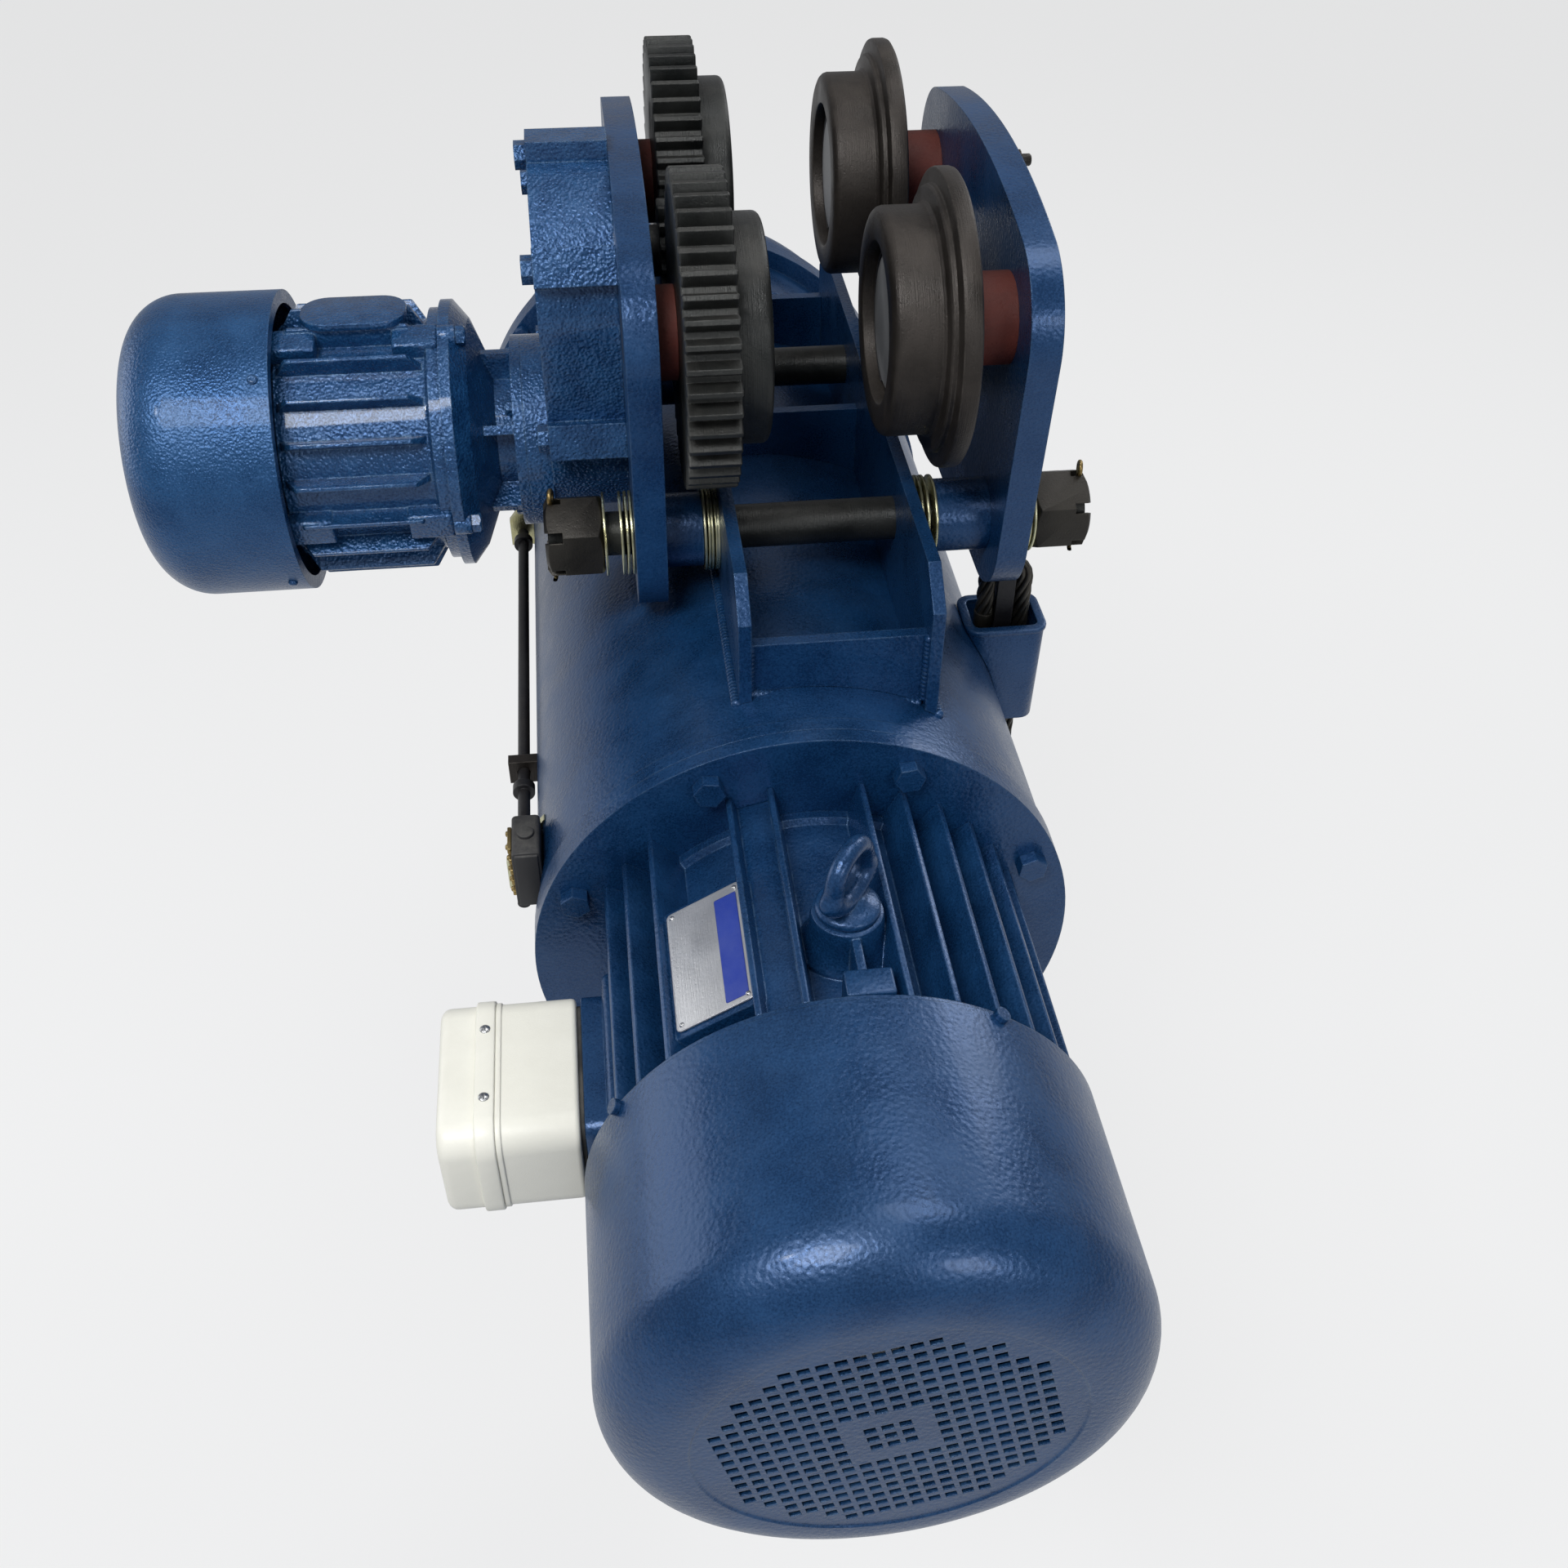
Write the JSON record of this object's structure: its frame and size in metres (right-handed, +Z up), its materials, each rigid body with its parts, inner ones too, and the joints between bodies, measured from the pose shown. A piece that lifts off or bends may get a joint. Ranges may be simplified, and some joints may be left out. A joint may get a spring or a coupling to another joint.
{
  "type": "electric wire rope hoist",
  "caption": "Electric wire rope hoist on a motorised I-beam trolley, with finned motor, drum casing, gearbox and hook block on rope falls.",
  "frame": {"origin": "on the beam's centre line, midway between the wheel axles, at the height where the wheel treads roll", "axes": "+X to the idle side of the trolley, +Y from the hoist motor to the gearbox, +Z up"},
  "size_m": [0.698, 1.248, 1.4623],
  "materials": {
    "blue_enamel": "hammered gloss enamel",
    "dark_steel": "dark oiled steel",
    "black_steel": "blackened steel",
    "yellow_zinc": "yellow zinc plate",
    "red_primer": "red primer",
    "machined_steel": "turned",
    "wire_rope": "greased wire",
    "ivory_plastic": "satin",
    "black_rubber": "matt",
    "black_plastic": "matt",
    "plate_metal": "satin",
    "hook_steel": "forged, painted dark"
  },
  "bodies": {
    "hoist_body": {"casing": "blue_enamel", "hanger_plates": "blue_enamel", "hanger_cross_plates": "blue_enamel", "motor_front_shield": "blue_enamel", "motor_frame": "blue_enamel", "motor_rear_shield": "blue_enamel", "eye_bolt": "blue_enamel", "fan_cover": "blue_enamel", "fan_cover_screws": "yellow_zinc", "housing_bolts": "black_steel", "rating_plate": "plate_metal", "box_gasket": "black_rubber", "junction_box": "ivory_plastic", "junction_box_cover": "ivory_plastic", "stator_core": "machined_steel", "motor_bearings": "machined_steel", "gearbox_housing": "blue_enamel", "gearbox_cover": "blue_enamel", "wedge_socket": "blue_enamel", "rope_wedge": "dark_steel", "rope_dead_end": "wire_rope", "rope_fall_live": "wire_rope", "rope_fall_dead": "wire_rope", "limit_brackets": "yellow_zinc", "limit_switch": "black_plastic", "suspension_shafts": "black_steel", "castle_nuts": "black_steel", "split_pins": "yellow_zinc", "spacer_washers": "yellow_zinc", "drive_side_plate": "blue_enamel", "idler_side_plate": "blue_enamel", "spacer_bushes": "blue_enamel", "wheel_axles": "dark_steel", "axle_hubs": "red_primer", "travel_gear_case": "blue_enamel", "travel_drive_bolts": "black_steel", "travel_motor_bell": "blue_enamel", "travel_motor_frame": "blue_enamel", "travel_fan_cover": "blue_enamel"},
    "hoist_motor_rotor": {"motor_rotor": "machined_steel", "cooling_fan": "black_steel", "drive_shaft": "machined_steel"},
    "drum": {"rope_drum": "machined_steel", "rope_wraps": "wire_rope"},
    "guide": {"rope_guide": "machined_steel"},
    "limit_rod_body": {"limit_rod": "machined_steel"},
    "geared_front": {"geared_wheel_front": "dark_steel"},
    "geared_rear": {"geared_wheel_rear": "dark_steel"},
    "idler_front": {"idler_wheel_front": "dark_steel"},
    "idler_rear": {"idler_wheel_rear": "dark_steel"},
    "pinion": {"travel_pinion": "dark_steel"},
    "travel_motor_rotor": {"travel_rotor": "machined_steel"},
    "hook_block": {"block_cheeks": "blue_enamel", "sheave_axle": "dark_steel", "crosshead": "machined_steel", "rope_under_sheave": "wire_rope"},
    "sheave_body": {"sheave": "machined_steel"},
    "hook_body": {"hook": "hook_steel", "hook_nut": "machined_steel"},
    "latch_body": {"hook_latch": "hook_steel"}
  },
  "joints": [
    {"name": "hoist_motor_spin", "type": "hinge", "parent": "hoist_body", "child": "hoist_motor_rotor", "pos_m": [-0.028, 0, -0.32], "axis": [0, 1, 0], "range_deg": [0, 558000]},
    {"name": "drum_spin", "type": "hinge", "parent": "hoist_body", "child": "drum", "pos_m": [-0.028, 0, -0.32], "axis": [0, -1, 0], "range_deg": [0, 6560]},
    {"name": "rope_guide_travel", "type": "slide", "parent": "hoist_body", "child": "guide", "axis": [0, 1, 0], "range_m": [0, 0.315]},
    {"name": "hook_lift", "type": "slide", "parent": "hoist_body", "child": "hook_block", "axis": [0, 0, -1], "range_m": [0, 9.02], "deforming": ["rope_fall_live", "rope_fall_dead"]},
    {"name": "sheave_spin", "type": "hinge", "parent": "hook_block", "child": "sheave_body", "pos_m": [-0.00308, -0.088, -0.81], "axis": [0, -1, 0], "range_deg": [0, 2860]},
    {"name": "hook_swivel", "type": "hinge", "parent": "hook_block", "child": "hook_body", "pos_m": [-0.00308, -0.088, -1.066], "axis": [0, 0, 1], "continuous": true},
    {"name": "hook_latch_swing", "type": "hinge", "parent": "hook_body", "child": "latch_body", "pos_m": [-0.04308, -0.088, -1.106], "axis": [0, -1, 0], "range_deg": [0, 35], "stiffness_Nm_per_rad": 0.05, "springref_deg": -28.65},
    {"name": "limit_rod_slide", "type": "slide", "parent": "hoist_body", "child": "limit_rod_body", "axis": [0, 1, 0], "range_m": [-0.01, 0.01], "stiffness_N_per_m": 500},
    {"name": "travel_motor_spin", "type": "hinge", "parent": "hoist_body", "child": "travel_motor_rotor", "pos_m": [-0.35, 0, -0.065], "axis": [1, 0, 0], "continuous": true},
    {"name": "travel_pinion_spin", "type": "hinge", "parent": "hoist_body", "child": "pinion", "pos_m": [-0.08, 0, 0.075], "axis": [1, 0, 0], "continuous": true},
    {"name": "geared_wheel_front_spin", "type": "hinge", "parent": "hoist_body", "child": "geared_front", "pos_m": [-0.067, -0.1305, 0.075], "axis": [1, 0, 0], "continuous": true},
    {"name": "geared_wheel_rear_spin", "type": "hinge", "parent": "hoist_body", "child": "geared_rear", "pos_m": [-0.067, 0.1305, 0.075], "axis": [1, 0, 0], "continuous": true},
    {"name": "idler_wheel_front_spin", "type": "hinge", "parent": "hoist_body", "child": "idler_front", "pos_m": [0.06, -0.1305, 0.075], "axis": [1, 0, 0], "continuous": true},
    {"name": "idler_wheel_rear_spin", "type": "hinge", "parent": "hoist_body", "child": "idler_rear", "pos_m": [0.06, 0.1305, 0.075], "axis": [1, 0, 0], "continuous": true}
  ],
  "couplings": [
    {"joint": "drum_spin", "follows": "hoist_motor_spin", "ratio": 0.011716},
    {"joint": "rope_guide_travel", "follows": "hoist_motor_spin", "m_per_rad": 0.0000317},
    {"joint": "hook_lift", "follows": "hoist_motor_spin", "m_per_rad": 0.00092355},
    {"joint": "sheave_spin", "follows": "hoist_motor_spin", "ratio": 0.0050585},
    {"joint": "travel_pinion_spin", "follows": "travel_motor_spin", "ratio": 0.096654},
    {"joint": "geared_wheel_front_spin", "follows": "travel_motor_spin", "ratio": -0.030754},
    {"joint": "geared_wheel_rear_spin", "follows": "travel_motor_spin", "ratio": -0.030754}
  ]
}
